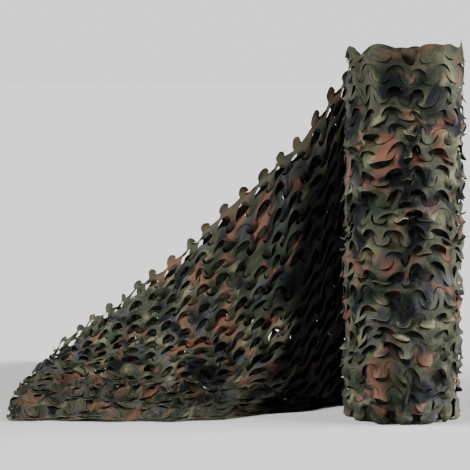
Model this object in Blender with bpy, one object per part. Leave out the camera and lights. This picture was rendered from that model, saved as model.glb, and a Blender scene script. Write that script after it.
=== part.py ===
"""Bulk roll of die-cut camouflage netting, standing on its end with the loose end let down.

The net is one length of cloth. ``roll`` is its wound form and ``tail`` is the loose end, which
leaves the roll upright, twists, and lies down on the floor. Points on the flat cloth are s,
metres along its length, and w, metres across its width from the edge that is on the floor.
In the world, X runs right, Y away from the viewer and Z up. The origin is on the roll's axis,
on the floor.
"""
import math

import bmesh
import bpy
from mathutils import Vector
from mathutils.geometry import delaunay_2d_cdt

# The cloth.
NET_WIDTH = 1.50
SHEET_THICKNESS = 0.0025
SEAT_GAP = 0.0003
UNCUT_MARGIN = 0.06
SCALLOP_PITCH = 0.10
SCALLOP_DEPTH = 0.014
POINTS_A_SCALLOP = 4

# Its leaves: round tongues inside C-shaped slits, here at twice the pitch of the real cut.
LEAF_PITCH_ALONG = 0.20
LEAF_PITCH_ACROSS = 0.16
LEAF_RADIUS = 0.062
LEAF_REST = 0.35
SLIT_WIDTH = 0.013
SLIT_SWEEP = math.radians(212)
ARC_STEPS = 6

# The roll.
ROLL_RADIUS = 0.235
TURN_STEP = 0.006
LIP_ANGLE = math.radians(110)
LUMP_HEIGHT = 0.002
LUMP_WAVES = ((3, 5.0), (2, -9.0))
FOOT_FLARE = 0.028
FOOT_FLARE_HEIGHT = 0.035
ROLL_LEAF_STANDS = 0.014
ROLL_LEAF_SINKS = -0.007
CALM_LEAF = 0.3
END_INSET = 0.024
END_TURNS = 4
END_STEPS_A_TURN = 20
END_RIDGE = NET_WIDTH - 0.022
END_GROOVE = NET_WIDTH - 0.040
END_EYE_RADIUS = 0.02

# The tail.
TAIL_LENGTH = 2.00
TAIL_LEAF_STANDS = 0.022
TAIL_LEAF_SINKS = -0.020
TAIL_LEAF_ON_FLOOR = 0.007
LEAF_FREE_OF_LIP = 0.16
FOLDS_FULL_AFTER = 0.30
FLOOR_ZONE = 0.01
END_BITE = 0.035

# The rise is straight up at the lip, and curves in from the floor once this much lies flat.
RISE_POWER = 1.35
RISE_CURVED_AT = 0.2

# One row for each tenth of the tail's length after the lip. Its front edge is on the floor at
# (front_x, front_y), the cloth then lies flat for the share "flat" of its width, and rises to
# its upper edge at (top_x, top_y, top_z). "bulge" is how far the row's middle bows to -X.
STATION_COLUMNS = ("front_x", "front_y", "flat", "top_x", "top_y", "top_z", "bulge")
STATIONS = (
    (-0.270, 0.140, 0.03, -0.215, 0.210, 1.405, 0.000),
    (-0.405, 0.045, 0.12, -0.330, 0.300, 1.215, 0.000),
    (-0.550, -0.020, 0.22, -0.475, 0.440, 1.070, 0.000),
    (-0.690, -0.105, 0.30, -0.640, 0.590, 0.890, 0.000),
    (-0.850, -0.140, 0.35, -0.800, 0.730, 0.725, 0.000),
    (-1.010, -0.160, 0.38, -0.960, 0.865, 0.560, 0.000),
    (-1.170, -0.170, 0.42, -1.120, 0.985, 0.410, 0.005),
    (-1.310, -0.155, 0.50, -1.280, 1.100, 0.295, 0.015),
    (-1.450, -0.150, 0.62, -1.430, 1.195, 0.190, 0.035),
    (-1.600, -0.140, 0.88, -1.560, 1.260, 0.035, 0.060),
)

# The tail's main folds: soft ridges, each from one cloth point to another, with its half
# width and its height. On the floor they stand up from it.
FOLD_COLUMNS = ("from_s", "from_w", "to_s", "to_w", "half_width", "height")
FOLDS = (
    (0.46, 1.50, 0.78, 0.42, 0.11, 0.024),
    (0.98, 1.50, 1.10, 0.55, 0.13, 0.028),
    (1.36, 1.50, 1.62, 0.30, 0.10, 0.022),
    (0.55, 0.30, 1.45, 0.42, 0.07, 0.018),
    (0.90, 0.16, 1.30, 0.22, 0.05, 0.012),
    (1.60, 0.85, 1.92, 1.05, 0.09, 0.020),
    (1.45, 0.10, 1.80, 0.22, 0.06, 0.012),
)

NET_COLOUR = (0.085, 0.095, 0.055, 1.0)
NET_ROUGHNESS = 0.85

CIRCUMFERENCE = 2 * math.pi * ROLL_RADIUS
ROLL_SCALLOPS = round(CIRCUMFERENCE / SCALLOP_PITCH)
LEAF_ROWS = round((NET_WIDTH - UNCUT_MARGIN) / LEAF_PITCH_ACROSS)
MERGE = 0.00001
NUDGE = 0.004
SHARP_ANGLE = math.radians(40)


class ClothPlan:
    """Points, lines and holes on the flat, to be filled with triangles."""

    def __init__(self):
        self.points = []
        self.heights = []
        self.lines = []
        self.holes = []

    def add(self, first, second, height=0.0):
        """Add a point, with how far it stands out of the flat, and return its number."""
        self.points.append(Vector((first, second)))
        self.heights.append(height)
        return len(self.points) - 1

    def join(self, numbers, closed=False):
        """Draw lines between points in turn, which the triangles then keep to."""
        self.lines.extend(zip(numbers, numbers[1:]))
        if closed:
            self.lines.append((numbers[-1], numbers[0]))

    def fill(self, outline):
        """Return the points, heights and triangles inside the outline and outside the holes."""
        faces = [outline, *self.holes]
        found = delaunay_2d_cdt(self.points, self.lines, faces, 0, MERGE, True)
        points, triangles, point_sources, face_sources = found[0], found[2], found[3], found[5]
        heights = [self.heights[source[0]] for source in point_sources]
        kept = [tri for tri, source in zip(triangles, face_sources) if list(source) == [0]]
        return points, heights, kept


def scallop(along, pitch):
    """Return how far the cut edge lies inside the cloth's full width, round tab by round tab."""
    return SCALLOP_DEPTH * (0.5 - 0.5 * math.cos(2 * math.pi * along / pitch))


def add_leaf(plan, centre_s, centre_w, hangs, stands, cut):
    """Add one C-shaped slit and the leaf inside it.

    A leaf that hangs is attached above, with its slit round its lower side. The other kind is
    attached below. ``stands`` is how far its free end is out of the cloth.
    """
    start = 0.5 * (math.pi - SLIT_SWEEP)
    side = -1.0 if hangs else 1.0
    outer = []
    inner = []
    for step in range(ARC_STEPS + 1):
        share = step / ARC_STEPS
        angle = start + share * SLIT_SWEEP
        along = side * math.cos(angle)
        across = side * math.sin(angle)
        outer.append(plan.add(centre_s + LEAF_RADIUS * along, centre_w + LEAF_RADIUS * across))
        if 0 < step < ARC_STEPS:
            radius = LEAF_RADIUS - SLIT_WIDTH * math.sin(math.pi * share)
            height = stands * math.sin(math.pi * share)
            inner.append(plan.add(centre_s + radius * along, centre_w + radius * across, height))
    plan.add(centre_s, centre_w, stands * LEAF_REST)
    ring = outer + inner[::-1]
    plan.join(ring, closed=True)
    if cut:
        plan.holes.append(ring)


def add_lattice(plan, length, columns, is_free):
    """Add the points between the leaves: the corners and mid-sides of their cells."""
    for column in range(2 * columns + 1):
        for row in range(2 * LEAF_ROWS + 1):
            if column % 2 and row % 2:
                continue
            along = length * column / (2 * columns)
            across = LEAF_PITCH_ACROSS * row / 2
            if is_free(along, across):
                plan.add(along, across)


def leaf_hangs(column, row):
    """Say whether a cell's leaf hangs from above: every second one does, as on a chessboard."""
    return (column + row) % 2 == 0


def roll_radius(s):
    """Return the radius of the wound cloth, which grows by one turn's step up to the lip."""
    return ROLL_RADIUS - TURN_STEP * (1 - s / CIRCUMFERENCE)


def roll_point(s, w, stands):
    """Return the place on the roll of a cloth point, with its leaf's stand-out."""
    turn = 2 * math.pi * s / CIRCUMFERENCE
    calm_at_lip = math.sin(turn / 2) ** 2
    lumps = LUMP_HEIGHT * sum(math.sin(around * turn + up * w) for around, up in LUMP_WAVES)
    tab = scallop(s, CIRCUMFERENCE / ROLL_SCALLOPS) / SCALLOP_DEPTH
    flare = FOOT_FLARE * tab * max(1 - w / FOOT_FLARE_HEIGHT, 0.0)
    radius = roll_radius(s) + stands + (lumps + flare) * calm_at_lip
    angle = LIP_ANGLE + turn
    return Vector((radius * math.cos(angle), radius * math.sin(angle), w))


class RollSide:
    """The plan of the outer turn: its scalloped top edge, and rows of raised and sunk leaves."""

    def __init__(self):
        self.plan = ClothPlan()
        half_rows = range(1, 2 * LEAF_ROWS + 1)
        self.levels = [0.0, FOOT_FLARE_HEIGHT, *(LEAF_PITCH_ACROSS * row / 2 for row in half_rows)]
        steps = ROLL_SCALLOPS * POINTS_A_SCALLOP
        around = [CIRCUMFERENCE * step / steps for step in range(steps + 1)]
        tab = CIRCUMFERENCE / ROLL_SCALLOPS
        self.foot = [self.plan.add(s, 0.0) for s in around]
        self.rim = [self.plan.add(s, NET_WIDTH - scallop(s, tab)) for s in around]
        start = [self.plan.add(0.0, w) for w in self.levels[1:]]
        finish = [self.plan.add(CIRCUMFERENCE, w) for w in self.levels[1:]]
        self.levels.append(NET_WIDTH)
        self.outline = self.foot + finish + self.rim[::-1] + start[::-1]
        self.plan.join(self.outline, closed=True)
        for s in around[1:-1]:
            self.plan.add(s, FOOT_FLARE_HEIGHT)
        self.add_leaves()

    def add_leaves(self):
        """Add the leaves and the points between them, all but flat in the column at the lip."""
        columns = round(CIRCUMFERENCE / LEAF_PITCH_ALONG)
        for column in range(columns):
            centre_s = CIRCUMFERENCE * (column + 0.5) / columns
            share = CALM_LEAF if column == 0 else 1.0
            for row in range(LEAF_ROWS):
                hangs = leaf_hangs(column, row)
                stands = share * (ROLL_LEAF_STANDS if hangs else ROLL_LEAF_SINKS)
                add_leaf(self.plan, centre_s, LEAF_PITCH_ACROSS * (row + 0.5), hangs, stands, cut=False)

        def is_free(along, across):
            return MERGE < along < CIRCUMFERENCE - MERGE and across > MERGE

        add_lattice(self.plan, CIRCUMFERENCE, columns, is_free)


def roll_end(ring):
    """Plan the roll's upper end inside its rim: the wound turns as ridges and grooves."""
    plan = ClothPlan()
    outline = [plan.add(point.x, point.y, point.z) for point in ring]
    plan.join(outline, closed=True)
    outer = ROLL_RADIUS - END_INSET
    pitch = (outer - END_EYE_RADIUS) / END_TURNS
    for inset, height in ((0.0, END_RIDGE), (0.5, END_GROOVE)):
        line = []
        for step in range(int(END_STEPS_A_TURN * (END_TURNS - inset)) + 1):
            turns = step / END_STEPS_A_TURN
            radius = outer - pitch * (turns + inset)
            angle = LIP_ANGLE - 2 * math.pi * turns
            line.append(plan.add(radius * math.cos(angle), radius * math.sin(angle), height))
        plan.join(line)
    return plan, outline


def smooth_station(length_share):
    """Return the tail's cross-section at a share of its length, smoothly between the rows."""
    lip_x = ROLL_RADIUS * math.cos(LIP_ANGLE) - SEAT_GAP * math.sin(LIP_ANGLE)
    lip_y = ROLL_RADIUS * math.sin(LIP_ANGLE) + SEAT_GAP * math.cos(LIP_ANGLE)
    rows = [(lip_x, lip_y, 0.0, lip_x, lip_y, NET_WIDTH, 0.0), *STATIONS]
    place = length_share * (len(rows) - 1)
    index = min(int(place), len(rows) - 2)
    t = place - index
    before, here, there, after = (rows[min(max(index + k, 0), len(rows) - 1)] for k in (-1, 0, 1, 2))
    values = []
    for a, b, c, d in zip(before, here, there, after):
        bend = (2 * a - 5 * b + 4 * c - d) * t * t + (3 * b - a - 3 * c + d) * t ** 3
        values.append(b + 0.5 * ((c - a) * t + bend))
    return dict(zip(STATION_COLUMNS, values))


def fold_height(s, w):
    """Return how far the main folds lift the cloth at one of its points."""
    total = 0.0
    for row in FOLDS:
        fold = dict(zip(FOLD_COLUMNS, row))
        start = Vector((fold["from_s"], fold["from_w"]))
        run = Vector((fold["to_s"], fold["to_w"])) - start
        share = min(max((Vector((s, w)) - start).dot(run) / run.length_squared, 0.0), 1.0)
        distance = (Vector((s, w)) - start - share * run).length
        total += fold["height"] * math.exp(-((distance / fold["half_width"]) ** 2))
    return total


def tail_base(s, w):
    """Return the place of a cloth point on the tail's underside, without its folds."""
    station = smooth_station(min(s / TAIL_LENGTH, 1.0))
    front = Vector((station["front_x"], station["front_y"], 0.0))
    top = Vector((station["top_x"], station["top_y"], 0.0))
    flat = max(station["flat"], 0.0)
    reach = (top - front).length
    flat_reach = min(flat * NET_WIDTH, reach)
    share = w / NET_WIDTH
    rise = max(share - flat, 0.0) / (1 - flat)
    run = flat_reach * min(share / flat, 1.0) if flat > 0 else 0.0
    run += (reach - flat_reach) * rise
    point = front.lerp(top, run / reach) if reach > MERGE else front.copy()
    power = 1 + (RISE_POWER - 1) * min(flat / RISE_CURVED_AT, 1.0)
    point.z = station["top_z"] * rise ** power
    point.x -= station["bulge"] * math.sin(math.pi * share)
    return point


def tail_point(s, w, stands):
    """Return the place of a cloth point on the tail's underside, with folds and leaves."""
    point = tail_base(s, w)
    along = tail_base(s + NUDGE, w) - tail_base(max(s - NUDGE, 0.0), w)
    across = tail_base(s, min(w + NUDGE, NET_WIDTH)) - tail_base(s, max(w - NUDGE, 0.0))
    upward = across.cross(along).normalized()
    if stands and point.z < FLOOR_ZONE:
        stands = TAIL_LEAF_ON_FLOOR
    point += upward * (fold_height(s, w) * min(s / FOLDS_FULL_AFTER, 1.0) + stands)
    point.z = max(point.z, 0.0)
    return point


def tail_plan():
    """Plan the loose end: scalloped long edges, a bitten free end and rows of cut leaves."""
    plan = ClothPlan()
    columns = round(TAIL_LENGTH / LEAF_PITCH_ALONG)
    steps = round(TAIL_LENGTH / SCALLOP_PITCH) * POINTS_A_SCALLOP
    levels = [LEAF_PITCH_ACROSS * row / 2 for row in range(1, 2 * LEAF_ROWS + 1)]

    front = []
    upper = []
    for step in range(steps + 1):
        s = TAIL_LENGTH * step / steps
        front.append(plan.add(s, scallop(s, SCALLOP_PITCH)))
        upper.append(plan.add(s, NET_WIDTH - scallop(s, SCALLOP_PITCH)))
    at_lip = [plan.add(0.0, w) for w in levels]
    free_end = []
    for number, w in enumerate(levels):
        bite = END_BITE if number % 2 == 0 else 0.0
        free_end.append(plan.add(TAIL_LENGTH - bite, w))
    outline = front + free_end + upper[::-1] + at_lip[::-1]
    plan.join(outline, closed=True)

    for column in range(columns):
        for row in range(LEAF_ROWS):
            centre_s = LEAF_PITCH_ALONG * (column + 0.5)
            centre_w = LEAF_PITCH_ACROSS * (row + 0.5)
            hangs = leaf_hangs(column, row)
            stands = TAIL_LEAF_STANDS if hangs else TAIL_LEAF_SINKS
            if centre_s > LEAF_FREE_OF_LIP:
                add_leaf(plan, centre_s, centre_w, hangs, stands, cut=True)

    def is_free(along, across):
        inside_ends = MERGE < along < TAIL_LENGTH - END_BITE
        return inside_ends and across > SCALLOP_DEPTH + MERGE

    add_lattice(plan, TAIL_LENGTH, columns, is_free)
    return plan, outline


def add_faces(mesh, places, triangles):
    """Add points and triangles to a bmesh."""
    verts = [mesh.verts.new(place) for place in places]
    for triangle in triangles:
        mesh.faces.new([verts[number] for number in triangle])


def make_object(name, mesh, material):
    """Turn a bmesh into a named object with a material, shaded smooth but for sharp edges."""
    data = bpy.data.meshes.new(name)
    mesh.to_mesh(data)
    mesh.free()
    data.materials.append(material)
    data.shade_smooth()
    data.set_sharp_from_angle(angle=SHARP_ANGLE)
    made = bpy.data.objects.new(name, data)
    bpy.context.scene.collection.objects.link(made)
    return made


def make_roll(material):
    """Build the wound form: side, lip, upper end and flat foot, as one closed body."""
    side = RollSide()
    points, heights, triangles = side.plan.fill(side.outline)
    mesh = bmesh.new()
    places = [roll_point(p.x, p.y, height) for p, height in zip(points, heights)]
    add_faces(mesh, places, triangles)

    for low, high in zip(side.levels, side.levels[1:]):
        corners = ((0.0, low), (0.0, high), (CIRCUMFERENCE, high), (CIRCUMFERENCE, low))
        mesh.faces.new([mesh.verts.new(roll_point(s, w, 0.0)) for s, w in corners])

    top_ring = [roll_point(*side.plan.points[number], 0.0) for number in side.rim]
    end_plan, end_outline = roll_end(top_ring)
    end_points, end_heights, end_triangles = end_plan.fill(end_outline)
    end_places = [(p.x, p.y, height) for p, height in zip(end_points, end_heights)]
    add_faces(mesh, end_places, end_triangles)

    foot_ring = [roll_point(*side.plan.points[number], 0.0) for number in side.foot]
    mesh.faces.new([mesh.verts.new(place) for place in reversed(foot_ring)])

    bmesh.ops.remove_doubles(mesh, verts=mesh.verts, dist=MERGE)
    bmesh.ops.recalc_face_normals(mesh, faces=mesh.faces)
    return make_object("roll", mesh, material)


def make_tail(material):
    """Build the loose end as a sheet whose underside is the draped cloth."""
    plan, outline = tail_plan()
    points, heights, triangles = plan.fill(outline)
    mesh = bmesh.new()
    places = [tail_point(p.x, p.y, height) for p, height in zip(points, heights)]
    add_faces(mesh, places, triangles)
    tail = make_object("tail", mesh, material)
    thickness = tail.modifiers.new("cloth thickness", "SOLIDIFY")
    thickness.thickness = SHEET_THICKNESS
    thickness.offset = -1.0
    return tail


def make_cloth_material():
    """Make the printed cloth's plain stand-in colour."""
    material = bpy.data.materials.new("net cloth")
    material.use_nodes = True
    surface = material.node_tree.nodes["Principled BSDF"]
    surface.inputs["Base Color"].default_value = NET_COLOUR
    surface.inputs["Roughness"].default_value = NET_ROUGHNESS
    return material


def main():
    """Clear the scene and build the net."""
    for old in list(bpy.data.objects):
        bpy.data.objects.remove(old, do_unlink=True)
    material = make_cloth_material()
    make_roll(material)
    make_tail(material)


main()
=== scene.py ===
"""Looks of a camouflage net roll: die-cut cloth, wound turns, frayed threads and a studio.

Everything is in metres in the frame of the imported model. Points on the flat cloth are s, metres
along its length from the lip where it leaves the roll, and w, metres across its width from the
edge that stands on the floor. The wound cloth has negative s and the loose end positive s.
"""
from __future__ import annotations

import logging
import math
from dataclasses import dataclass, field, replace
from enum import Enum
from typing import Any

import bpy
import numpy as np
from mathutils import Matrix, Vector
from mathutils.geometry import delaunay_2d_cdt


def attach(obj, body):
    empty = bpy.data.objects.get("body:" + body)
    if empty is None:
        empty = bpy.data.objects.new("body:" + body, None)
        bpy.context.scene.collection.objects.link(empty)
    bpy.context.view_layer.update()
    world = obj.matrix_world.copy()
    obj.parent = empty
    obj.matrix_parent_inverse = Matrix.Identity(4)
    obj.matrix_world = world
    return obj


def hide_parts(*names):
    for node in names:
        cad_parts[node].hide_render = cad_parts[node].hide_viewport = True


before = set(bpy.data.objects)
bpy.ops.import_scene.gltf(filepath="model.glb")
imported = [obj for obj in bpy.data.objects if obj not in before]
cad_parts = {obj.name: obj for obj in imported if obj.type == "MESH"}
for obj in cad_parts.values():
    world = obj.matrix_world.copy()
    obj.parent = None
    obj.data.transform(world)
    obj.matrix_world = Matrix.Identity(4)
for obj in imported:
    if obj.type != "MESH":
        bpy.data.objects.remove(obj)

log = logging.getLogger("net")
Array = np.ndarray
Colour = tuple[float, float, float]
ROLL_NODE = "roll"
TAIL_NODE = "tail"
BODY = "root"
CLOTH = "cloth"
ARCH = "in_arch"
BOWL = "in_bowl"
# Name of the point attribute that carries painted shade, darkening the print, and painted light, lightening
# it.
PAINTED_SHADE_AND_LIGHT = "hollow"
BAKE_MAP = "OFBake"
SHARP = math.radians(55)
TURN = 2 * math.pi
TINY = 1e-6


# ---------------------------------------------------------------- nodes


class Signal:
    """One node socket, with arithmetic that adds Math nodes."""

    def __init__(self, bench: NodeBench, socket: bpy.types.NodeSocket) -> None:
        """Keep an output socket and the bench that adds the nodes after it."""
        self.bench = bench
        self.socket = socket

    def __add__(self, other: Signal | float) -> Signal:
        """Return self + other."""
        return self.bench.maths("ADD", self, other)

    def __radd__(self, other: float) -> Signal:
        """Return other + self."""
        return self.bench.maths("ADD", other, self)

    def __sub__(self, other: Signal | float) -> Signal:
        """Return self - other."""
        return self.bench.maths("SUBTRACT", self, other)

    def __rsub__(self, other: float) -> Signal:
        """Return other - self."""
        return self.bench.maths("SUBTRACT", other, self)

    def __mul__(self, other: Signal | float) -> Signal:
        """Return self * other."""
        return self.bench.maths("MULTIPLY", self, other)

    def __rmul__(self, other: float) -> Signal:
        """Return other * self."""
        return self.bench.maths("MULTIPLY", other, self)

    def __truediv__(self, other: Signal | float) -> Signal:
        """Return self / other."""
        return self.bench.maths("DIVIDE", self, other)

    def __rtruediv__(self, other: float) -> Signal:
        """Return other / self."""
        return self.bench.maths("DIVIDE", other, self)

    def __gt__(self, other: Signal | float) -> Signal:
        """Return 1 where self > other, else 0."""
        return self.bench.maths("GREATER_THAN", self, other)

    def __lt__(self, other: Signal | float) -> Signal:
        """Return 1 where self < other, else 0."""
        return self.bench.maths("LESS_THAN", self, other)

    def sine(self) -> Signal:
        """Return the sine of self."""
        return self.bench.maths("SINE", self)

    def clamp(self) -> Signal:
        """Return self held between 0 and 1."""
        return self.bench.get("ShaderNodeClamp", {"Value": self})


class NodeBench:
    """Adds nodes to one shader or geometry tree."""

    def __init__(self, tree: bpy.types.NodeTree) -> None:
        """Keep the tree to add to."""
        self.tree = tree

    def feed(self, node: bpy.types.Node, sockets: dict[str | int, Any]) -> None:
        """Set a node's inputs, and link those whose value is a signal.

        Args:
            node: The node.
            sockets: The value of each input, by its name or number.
        """
        for name, value in sockets.items():
            if isinstance(value, Signal):
                self.tree.links.new(value.socket, node.inputs[name])
            else:
                node.inputs[name].default_value = value

    def add(self, kind: str, sockets: dict[str | int, Any] | None = None, **settings: Any) -> bpy.types.Node:
        """Add one node.

        Args:
            kind: The node's type.
            sockets: The values or links of its inputs.
            settings: Its settings, set before its inputs. ``stops`` are a colour ramp's two stops.

        Returns:
            The node.
        """
        node = self.tree.nodes.new(kind)
        for name, value in settings.items():
            if name == "stops":
                for element, (place, colour) in zip(node.color_ramp.elements, value):
                    element.position = place
                    element.color = colour
            else:
                setattr(node, name, value)
        self.feed(node, sockets or {})
        return node

    def get(self, kind: str, sockets: dict[str | int, Any] | None = None, out: str | int = 0,
            **settings: Any) -> Signal:
        """Add one node and return its output of that name or number."""
        return Signal(self, self.add(kind, sockets, **settings).outputs[out])

    def maths(self, operation: str, *values: Signal | float) -> Signal:
        """Return the result of one Math node."""
        return self.get("ShaderNodeMath", dict(enumerate(values)), operation=operation)

    def vector(self, operation: str, first: Signal, second: Any = None) -> Signal:
        """Return the result of one Vector Math node.

        Args:
            operation: The node's operation.
            first: The first vector.
            second: The second vector, or the factor of SCALE.

        Returns:
            The resulting vector.
        """
        sockets = {0: first}
        if second is not None:
            sockets["Scale" if operation == "SCALE" else 1] = second
        return self.get("ShaderNodeVectorMath", sockets, operation=operation)

    def noise(self, place: Signal, scale: Signal | float, detail: float, out: str = "Fac",
              label: str = "", **sockets: Any) -> Signal:
        """Return a noise field's value or colour.

        Args:
            place: Where it is read.
            scale: How fine it is.
            detail: How many finer layers it has.
            out: The output to return.
            label: The node's label.
            sockets: Its other inputs. A W makes it four-dimensional.

        Returns:
            The node's output.
        """
        given = {"Vector": place, "Scale": scale, "Detail": detail, **sockets}
        space = "4D" if "W" in sockets else "3D"
        return self.get("ShaderNodeTexNoise", given, out, noise_dimensions=space, label=label)

    def blend(self, share: Signal | float, first: Signal | Colour, second: Colour) -> Signal:
        """Return a mix of two colours.

        Args:
            share: The second colour's share.
            first: The first colour.
            second: The second colour.

        Returns:
            The mixed colour.
        """
        start = first if isinstance(first, Signal) else (*first, 1.0)
        return self.get("ShaderNodeMix", {"Factor": share, 6: start, 7: (*second, 1.0)}, 2, data_type="RGBA")


# ---------------------------------------------------------------- finishes


def new_material(name: str) -> tuple[bpy.types.Material, NodeBench, bpy.types.Node]:
    """Make a material with a Principled surface.

    Args:
        name: The material's name.

    Returns:
        The material, the bench for its tree, and its surface.
    """
    material = bpy.data.materials.new(name)
    material.use_nodes = True
    tree = material.node_tree
    return material, NodeBench(tree), tree.nodes["Principled BSDF"]


@dataclass(frozen=True)
class PrintPatch:
    """One colour of the print: soft-edged blotches where a noise field passes a level."""

    name: str
    colour: Colour
    scale: float
    level: float
    offset: float
    softness: float


@dataclass(frozen=True)
class NetPrint:
    """The camouflage print on matte woven polyester, mixed by a share towards a plain colour, with painted
    shade and painted light from a point attribute.
    """

    name: str = "net_print"
    # A share of the print mixed towards a plain colour: the cloth's plainer back and pale cut edge, also used
    # as painted shade and painted highlight.
    plain_and_painted_light_share: float = 0.0
    plain_and_painted_light_colour: Colour = (0.024, 0.024, 0.016)
    # How strongly the point attribute's painted shade darkens the print, and its painted light lightens it.
    painted_shade_strength: float = 0.97
    ground: Colour = (0.038, 0.039, 0.027)
    edge: Colour = (0.042, 0.042, 0.026)
    edge_from: float = 1.36
    edge_fade: float = 0.05
    edge_share: float = 0.50
    blotch_detail: float = 2.5
    blotch_warp: float = 0.9
    plain_shade: float = 0.72
    wear_scale: float = 21.0
    wear_detail: float = 5.0
    wear_share: float = 0.36
    fleck_scale: float = 420.0
    fleck_detail: float = 2.0
    fleck_share: float = 0.20
    weave_pitch: float = 0.0016
    weave_share: float = 0.10
    crease_scale: float = 55.0
    crease_detail: float = 3.0
    crease_warp: float = 1.2
    crease_share: float = 3.0
    bump_strength: float = 0.8
    bump_depth: float = 0.002
    roughness: float = 0.80
    roughness_range: float = 0.14
    gloss: float = 0.04
    patches: tuple[PrintPatch, ...] = (
        PrintPatch("khaki", (0.100, 0.097, 0.058), 6.2, 0.53, 3.1, 0.11),
        PrintPatch("leaf green", (0.016, 0.021, 0.013), 7.4, 0.48, 11.7, 0.10),
        PrintPatch("slate", (0.033, 0.034, 0.038), 6.2, 0.55, 51.3, 0.12),
        PrintPatch("rust brown", (0.092, 0.043, 0.029), 6.6, 0.545, 23.9, 0.11),
        PrintPatch("night", (0.006, 0.007, 0.008), 7.8, 0.515, 37.3, 0.11),
    )

    def coloured(self, bench: NodeBench, cloth: Signal, across: Signal) -> Signal:
        """Return the print's colour.

        Args:
            bench: The material's tree.
            cloth: The place on the flat cloth.
            across: That place's distance across the cloth.

        Returns:
            The colour.
        """
        colour: Signal | Colour = self.ground
        for patch in self.patches:
            moved = bench.vector("ADD", cloth, (patch.offset,) * 3)
            noise = bench.noise(moved, patch.scale, self.blotch_detail, label=patch.name,
                                Distortion=self.blotch_warp)
            colour = bench.blend(((noise - patch.level) / patch.softness).clamp(), colour, patch.colour)
        near_edge = ((across - self.edge_from) / self.edge_fade).clamp() * self.edge_share
        return bench.blend(self.plain_and_painted_light_share, bench.blend(near_edge, colour, self.edge), self.plain_and_painted_light_colour)

    def build(self) -> bpy.types.Material:
        """Make the material.

        Returns:
            The material.
        """
        material, bench, surface = new_material(self.name)
        cloth = bench.get("ShaderNodeAttribute", out="Vector", attribute_name=CLOTH)
        hollow = bench.get("ShaderNodeAttribute", out="Fac", attribute_name=PAINTED_SHADE_AND_LIGHT)
        parts = bench.add("ShaderNodeSeparateXYZ", {0: cloth}).outputs
        along, across = Signal(bench, parts["X"]), Signal(bench, parts["Y"])
        wear = bench.noise(cloth, self.wear_scale, self.wear_detail)
        fleck = bench.noise(cloth, self.fleck_scale, self.fleck_detail)
        shade = self.plain_shade + self.wear_share * wear + self.fleck_share * fleck
        # Painted shade and painted light: the point attribute darkens or lightens the print's colour here.
        shade = shade * (1.0 - self.painted_shade_strength * hollow)
        waves = TURN / self.weave_pitch
        weave = self.weave_share * (along * waves).sine() * (across * waves).sine()
        crease = bench.noise(cloth, self.crease_scale, self.crease_detail, Distortion=self.crease_warp)
        bench.feed(surface, {
            "Base Color": bench.vector("SCALE", self.coloured(bench, cloth, across), shade),
            "Roughness": self.roughness + self.roughness_range * (wear - 0.5),
            "Specular IOR Level": self.gloss,
            "Normal": bench.get("ShaderNodeBump", {
                "Height": weave + self.crease_share * crease,
                "Strength": self.bump_strength, "Distance": self.bump_depth})})
        return material


@dataclass(frozen=True)
class ThreadFinish:
    """Loose polyester threads at the cut edges."""

    name: str = "thread"
    dark: Colour = (0.030, 0.032, 0.024)
    light: Colour = (0.120, 0.115, 0.080)
    dark_below: float = 0.38
    light_above: float = 0.62
    patch_scale: float = 12.0
    patch_detail: float = 2.0
    roughness: float = 0.85

    def build(self) -> bpy.types.Material:
        """Make the material.

        Returns:
            The material.
        """
        material, bench, surface = new_material(self.name)
        spot = bench.get("ShaderNodeTexCoord", out="Object")
        patch = bench.noise(spot, self.patch_scale, self.patch_detail)
        stops = ((self.dark_below, (*self.dark, 1.0)), (self.light_above, (*self.light, 1.0)))
        colour = bench.get("ShaderNodeValToRGB", {"Fac": patch}, "Color", stops=stops)
        bench.feed(surface, {"Base Color": colour, "Roughness": self.roughness})
        return material


@dataclass(frozen=True)
class FloorFinish:
    """The pale floor."""

    name: str = "studio_floor"
    colour: Colour = (0.44, 0.44, 0.435)
    roughness: float = 0.9

    def build(self) -> bpy.types.Material:
        """Make the material.

        Returns:
            The material.
        """
        material, bench, surface = new_material(self.name)
        bench.feed(surface, {"Base Color": (*self.colour, 1.0), "Roughness": self.roughness})
        return material


# ---------------------------------------------------------------- meshes


def in_scene(name: str, data: bpy.types.ID) -> bpy.types.Object:
    """Put a new object into the scene, at the origin.

    Args:
        name: Its name.
        data: The mesh, light or camera that it shows.

    Returns:
        The object.
    """
    made = bpy.data.objects.new(name, data)
    bpy.context.scene.collection.objects.link(made)
    return made


def plain_mesh(holder: bpy.types.Object, name: str) -> bpy.types.Mesh:
    """Take an object's evaluated shape as a plain mesh, and remove the object.

    Args:
        holder: The object, with its modifier.
        name: The mesh's name.

    Returns:
        The plain mesh.
    """
    evaluated = holder.evaluated_get(bpy.context.evaluated_depsgraph_get())
    mesh = bpy.data.meshes.new_from_object(evaluated)
    mesh.name = name
    bpy.data.objects.remove(holder, do_unlink=True)
    return mesh


def store(mesh: bpy.types.Mesh, name: str, values: Array) -> None:
    """Store one value or one vector a point as a named attribute.

    Args:
        mesh: The mesh.
        name: The attribute's name.
        values: A row of values, or a table with a row a point.
    """
    kind, key = ("FLOAT", "value") if values.ndim == 1 else ("FLOAT_VECTOR", "vector")
    data = mesh.attributes.new(name, kind, "POINT").data
    data.foreach_set(key, values.astype(np.float32).ravel())


def read(items: Any, key: str, width: int = 1, kind: type = np.float32) -> Array:
    """Read one property of every item in a mesh's collection.

    Args:
        items: The collection.
        key: The property's name.
        width: How many numbers it holds.
        kind: Their type.

    Returns:
        A row of values, or a table with a row an item.
    """
    values = np.empty(len(items) * width, dtype=kind)
    items.foreach_get(key, values)
    return values if width == 1 else values.reshape(-1, width)


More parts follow.
